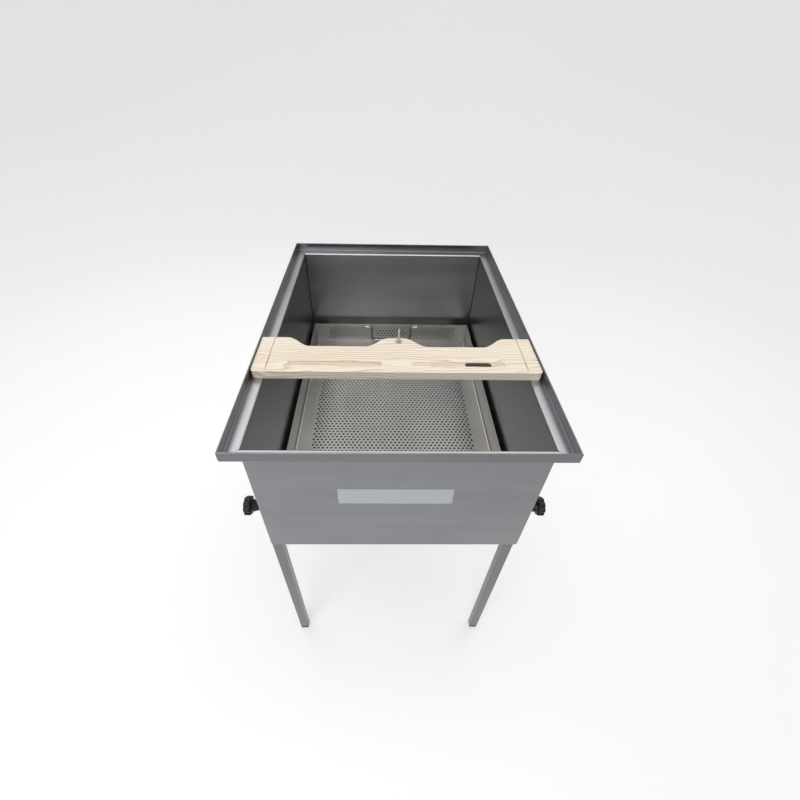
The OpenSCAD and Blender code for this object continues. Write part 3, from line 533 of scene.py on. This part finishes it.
def basket_sheets():
    """The perforated floor and end walls of the basket."""
    low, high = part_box("basket_floor")
    centre, half = (low + high) / 2, (high - low) / 2
    sheet = perforated(half.x, half.y, half.x - FIELD_SIDE, half.y - FIELD_END)
    sheet.transform(Matrix.Translation(centre))
    made = piece("basket_floor_sheet", sheet, STEEL_BASKET, "basket", ["basket_floor"])
    thicken(made, high.z - low.z)
    for end in ("front", "rear"):
        node = "basket_" + end + "_wall"
        low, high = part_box(node)
        centre, half = (low + high) / 2, (high - low) / 2
        sheet = perforated(half.x, half.z, half.x - FIELD_SIDE, half.z - FIELD_WALL)
        sheet.transform(Matrix.Translation(centre) @ Matrix.Rotation(math.radians(90), 4, "X"))
        made = piece(node + "_sheet", sheet, STEEL_BASKET_END_PAINTED_LIGHT, "basket", [node])
        thicken(made, high.y - low.y)


def lathe(rows, steps, flutes=0, depth=0.0):
    """A turned and fluted form about Z from rows of (radius, height, share of the flutes' depth)."""
    made = bmesh.new()
    rings = []
    for radius, height, share in rows:
        ring = []
        for i in range(steps if radius else 1):
            angle = 2 * math.pi * i / steps
            reach = radius - depth * share * (0.5 + 0.5 * math.cos(flutes * angle)) ** 2
            ring.append(made.verts.new((reach * math.cos(angle), reach * math.sin(angle), height)))
        rings.append(ring)
    for lower, upper in zip(rings, rings[1:]):
        for i in range(steps):
            j = (i + 1) % steps
            loop = [ring[k % len(ring)] for ring, k in ((lower, i), (lower, j), (upper, j), (upper, i))]
            made.faces.new(list(dict.fromkeys(loop)))
    bmesh.ops.recalc_face_normals(made, faces=made.faces)
    return made


def knobs():
    """The four fluted knobs, each with its pocket for the bush."""
    rows = [(radius * MM, height * MM, share) for radius, height, share in KNOB_ROWS]
    for corner, sx in CORNERS:
        name = "knob_" + corner
        low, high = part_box(name)
        root = (low + high) / 2
        root.x = low.x if sx > 0 else high.x
        knob = lathe(rows, KNOB_STEPS, KNOB_FLUTES, KNOB_FLUTE_DEPTH)
        knob.transform(Matrix.Translation(root) @ Matrix.Rotation(math.radians(90 * sx), 4, "Y"))
        piece(name + "_moulding", knob, KNOB, name, [name], KNOB_SMOOTH)


def bead(points, radius, ripple=RIPPLE, closed=False):
    """A weld bead along evenly placed points, with a ripple."""
    made = bmesh.new()
    rings = []
    count = len(points)
    for i, point in enumerate(points):
        before = points[(i - 1) % count] if closed or i > 0 else point
        after = points[(i + 1) % count] if closed or i < count - 1 else point
        turn = (after - before).to_track_quat("Z", "Y").to_matrix()
        reach = radius * (1 + ripple * math.cos(2 * math.pi * i / RIPPLE_POINTS))
        ring = []
        for k in range(WELD_SIDES):
            angle = 2 * math.pi * k / WELD_SIDES
            offset = Vector((reach * math.cos(angle), reach * math.sin(angle), 0))
            ring.append(made.verts.new(point + turn @ offset))
        rings.append(ring)
    for lower, upper in zip(rings, rings[1:] + rings[:1] if closed else rings[1:]):
        for k in range(WELD_SIDES):
            j = (k + 1) % WELD_SIDES
            made.faces.new((lower[k], lower[j], upper[j], upper[k]))
    if not closed:
        made.faces.new(rings[0])
        made.faces.new(rings[-1])
    bmesh.ops.recalc_face_normals(made, faces=made.faces)
    return made


def line(start, end):
    """Points along a straight weld."""
    count = max(2, round((end - start).length / WELD_STEP))
    return [start.lerp(end, i / count) for i in range(count + 1)]


def weld(name, form, body="tank"):
    """A weld bead as a piece."""
    piece(name, form, WELD, body, (), WELD_SMOOTH)


def corner_welds():
    """Weld beads in the corners of the tub and the basket, and on the rim's mitres; their dark colour is
    partly painted shade along those corners.
    """
    left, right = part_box("tub_left_wall"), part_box("tub_right_wall")
    front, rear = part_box("tub_front_wall"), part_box("tub_rear_wall")
    floor_z = {"front": front[0].z, "rear": rear[0].z}
    wall_x = {-1: left[1].x, 1: right[0].x}
    wall_y = {"front": front[1].y, "rear": rear[0].y}
    rim_x = {-1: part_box("rim_left")[0].x, 1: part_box("rim_right")[1].x}
    rim_y = {"front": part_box("rim_front")[0].y, "rear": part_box("rim_rear")[1].y}
    mitre_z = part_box("frame_rest_bar")[0].z - BAR_PLAY - MITRE_SINK
    basket_x = {-1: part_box("basket_left_wall")[1].x, 1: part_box("basket_right_wall")[0].x}
    basket_y = {"front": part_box("basket_front_wall")[1].y, "rear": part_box("basket_rear_wall")[0].y}
    basket_low, basket_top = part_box("basket_floor")[1].z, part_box("basket_left_wall")[1].z
    for corner, sx in CORNERS:
        end = corner.split("_")[0]
        sy = -1 if end == "front" else 1
        x, y = wall_x[sx] - sx * WELD_IN, wall_y[end] - sy * WELD_IN
        low, high = Vector((x, y, floor_z[end] + WELD_RISE)), Vector((x, y, left[1].z))
        weld("tub_weld_" + corner, bead(line(low, high), WELD_R))
        outer = Vector((rim_x[sx] - sx * MITRE_INSET, rim_y[end] - sy * MITRE_INSET, mitre_z))
        inner = Vector((x, y, mitre_z))
        weld("rim_seam_" + corner, bead(line(outer, inner), SEAM_R, ripple=0))
        x, y = basket_x[sx], basket_y[end]
        low, high = Vector((x, y, basket_low)), Vector((x, y, basket_top))
        weld("basket_weld_" + corner, bead(line(low, high), SEAM_R), "basket")


def outlet_welds():
    """The seam on three sides of the outlet's plate, and the weld round its pipe."""
    low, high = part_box("outlet_plate")
    places = ((low.x, low.z), (low.x, high.z), (high.x, high.z), (high.x, low.z))
    corners = [Vector((x, high.y, z)) for x, z in places]
    route = [point for start, end in zip(corners, corners[1:]) for point in line(start, end)[:-1]]
    weld("plate_seam", bead(route + corners[-1:], SEAM_R))
    low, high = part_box("outlet_pipe")
    middle, reach = (low + high) / 2, (high.x - low.x) / 2
    count = RIPPLE_POINTS * round(2 * math.pi * reach / WELD_STEP / RIPPLE_POINTS)
    ring = []
    for i in range(count):
        angle = 2 * math.pi * i / count
        ring.append(Vector((middle.x + reach * math.cos(angle), low.y, middle.z + reach * math.sin(angle))))
    weld("outlet_weld", bead(ring, OUTLET_WELD_R, closed=True))


def prism(outline, start, end):
    """A straight solid along Y from an outline of (x, z)."""
    made = bmesh.new()
    near = [made.verts.new((x, start, z)) for x, z in outline]
    far = [made.verts.new((x, end, z)) for x, z in outline]
    for i in range(len(outline)):
        j = (i + 1) % len(outline)
        made.faces.new((near[i], near[j], far[j], far[i]))
    made.faces.new(near)
    made.faces.new(far)
    bmesh.ops.recalc_face_normals(made, faces=made.faces)
    return made


def bends():
    """The rounded folds between the basket's floor and its side walls."""
    floor_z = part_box("basket_floor")[1].z
    start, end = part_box("basket_front_wall")[1].y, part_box("basket_rear_wall")[0].y
    walls = {-1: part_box("basket_left_wall")[1].x, 1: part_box("basket_right_wall")[0].x}
    turns = [math.radians(90 * i / BEND_STEPS) for i in range(BEND_STEPS + 1)]
    profile = [(BEND_R - BEND_R * math.cos(a), BEND_R - BEND_R * math.sin(a)) for a in turns]
    profile += [(BEND_R, -BEND_BACK), (-BEND_BACK, -BEND_BACK), (-BEND_BACK, BEND_R)]
    for side, sx in SIDES:
        fold = prism([(walls[sx] - sx * u, floor_z + w) for u, w in profile], start, end)
        piece("basket_fold_" + side, fold, STEEL_BASKET, "basket", (), BEND_SMOOTH)


def label():
    """A blank foil label on the front wall."""
    wall_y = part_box("tub_front_wall")[0].y
    middle_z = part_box("rim_front")[1].z - LABEL_UNDER_RIM
    outline = []
    for turn, sx, sz in ((0, 1, 1), (90, -1, 1), (180, -1, -1), (270, 1, -1)):
        for i in range(LABEL_STEPS + 1):
            angle = math.radians(turn + 90 * i / LABEL_STEPS)
            x = sx * (LABEL_W / 2 - LABEL_CORNER) + LABEL_CORNER * math.cos(angle)
            z = sz * (LABEL_H / 2 - LABEL_CORNER) + LABEL_CORNER * math.sin(angle)
            outline.append((LABEL_MIDDLE_X + x, middle_z + z))
    piece("blank_label", prism(outline, wall_y, wall_y - LABEL_T), LABEL, "tank")


def camera():
    """The camera at the photograph's place, with its lens and framing."""
    low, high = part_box("rim_front")
    pitch, yaw, roll = (math.radians(a) for a in (PITCH, YAW, ROLL))
    ahead = Vector((math.sin(yaw) * math.cos(pitch), math.cos(yaw) * math.cos(pitch), -math.sin(pitch)))
    level = Vector((math.cos(yaw), -math.sin(yaw), 0))
    down = ahead.cross(level)
    right = math.cos(roll) * level + math.sin(roll) * down
    down = math.cos(roll) * down - math.sin(roll) * level
    turn = Matrix((right, -down, -ahead)).transposed().to_4x4()
    data = bpy.data.cameras.new("photo_camera")
    data.sensor_width = SENSOR_MM
    data.lens = FOCAL_PX / PHOTO_PX * SENSOR_MM
    data.shift_x = 0.5 - CENTRE_PX[0] / PHOTO_PX
    data.shift_y = CENTRE_PX[1] / PHOTO_PX - 0.5
    data.clip_start = CLIP_START
    made = bpy.data.objects.new("photo_camera", data)
    made.matrix_world = Matrix.Translation(Vector((0, low.y, high.z)) + CAMERA_FROM_RIM) @ turn
    bpy.context.scene.collection.objects.link(made)
    bpy.context.scene.camera = made


def seen(tree):
    """1 for rays that look at a surface directly, in a reflection or through glass, and else 0."""
    path = add(tree, "LightPath").outputs
    mirrored = maths(tree, "MAXIMUM", path["Is Glossy Ray"], path["Is Transmission Ray"])
    return maths(tree, "MAXIMUM", path["Is Camera Ray"], mirrored)


def stage():
    """A plain pale floor that sweeps up all round the object."""
    made, tree, shader, _ = material("floor_pale")
    shader.inputs["Base Color"].default_value = (*FLOOR_PALE, 1)
    shader.inputs["Roughness"].default_value = FLOOR_ROUGH
    shader.inputs["Specular IOR Level"].default_value = FLOOR_GLOSS
    shader.inputs["Emission Color"].default_value = (1, 1, 1, 1)
    tree.links.new(maths(tree, "MULTIPLY", seen(tree), FLOOR_LIFT), shader.inputs["Emission Strength"])
    rows = [(0, 0, 0)]
    for i in range(COVE_STEPS + 1):
        angle = math.radians(90 * i / COVE_STEPS)
        rows.append((STAGE_R - COVE_R + COVE_R * math.sin(angle), COVE_R - COVE_R * math.cos(angle), 0))
    rows.append((STAGE_R, STAGE_TOP, 0))
    sweep = lathe(rows, STAGE_STEPS)
    mesh = bpy.data.meshes.new("floor")
    sweep.to_mesh(mesh)
    sweep.free()
    mesh.materials.append(made)
    mesh.shade_smooth()
    floor = bpy.data.objects.new("floor", mesh)
    bpy.context.scene.collection.objects.link(floor)


def lamp(name, place, aim, size, radiance):
    """A soft rectangular lamp of an even radiance."""
    data = bpy.data.lights.new(name, "AREA")
    data.shape = "RECTANGLE"
    data.size, data.size_y = size
    data.energy = radiance * math.pi * size[0] * size[1]
    made = bpy.data.objects.new(name, data)
    made.location = place
    made.rotation_euler = (Vector(aim) - Vector(place)).to_track_quat("-Z", "Y").to_euler()
    made.visible_camera = False
    bpy.context.scene.collection.objects.link(made)


def lights():
    """A plain room light and the lamps."""
    world = bpy.data.worlds.new("studio")
    bpy.context.scene.world = world
    world.use_nodes = True
    tree = world.node_tree
    back = tree.nodes["Background"]
    back.inputs["Color"].default_value = (1.0, 1.0, 1.0, 1.0)
    strength = add(tree, "MapRange", {"Value": seen(tree), "To Min": ROOM_LIGHT, "To Max": ROOM_SHOWN})
    tree.links.new(strength.outputs["Result"], back.inputs["Strength"])
    for settings in LAMPS:
        lamp(*settings)


def view_settings():
    """Colours shown as they are, without a film look."""
    bpy.context.scene.view_settings.view_transform = "Standard"


view_settings()
camera()
stage()
lights()
dress_nodes()
for node, (width, segments) in ROUNDED.items():
    soften(node, width, segments)
basket_sheets()
knobs()
corner_welds()
outlet_welds()
bends()
label()
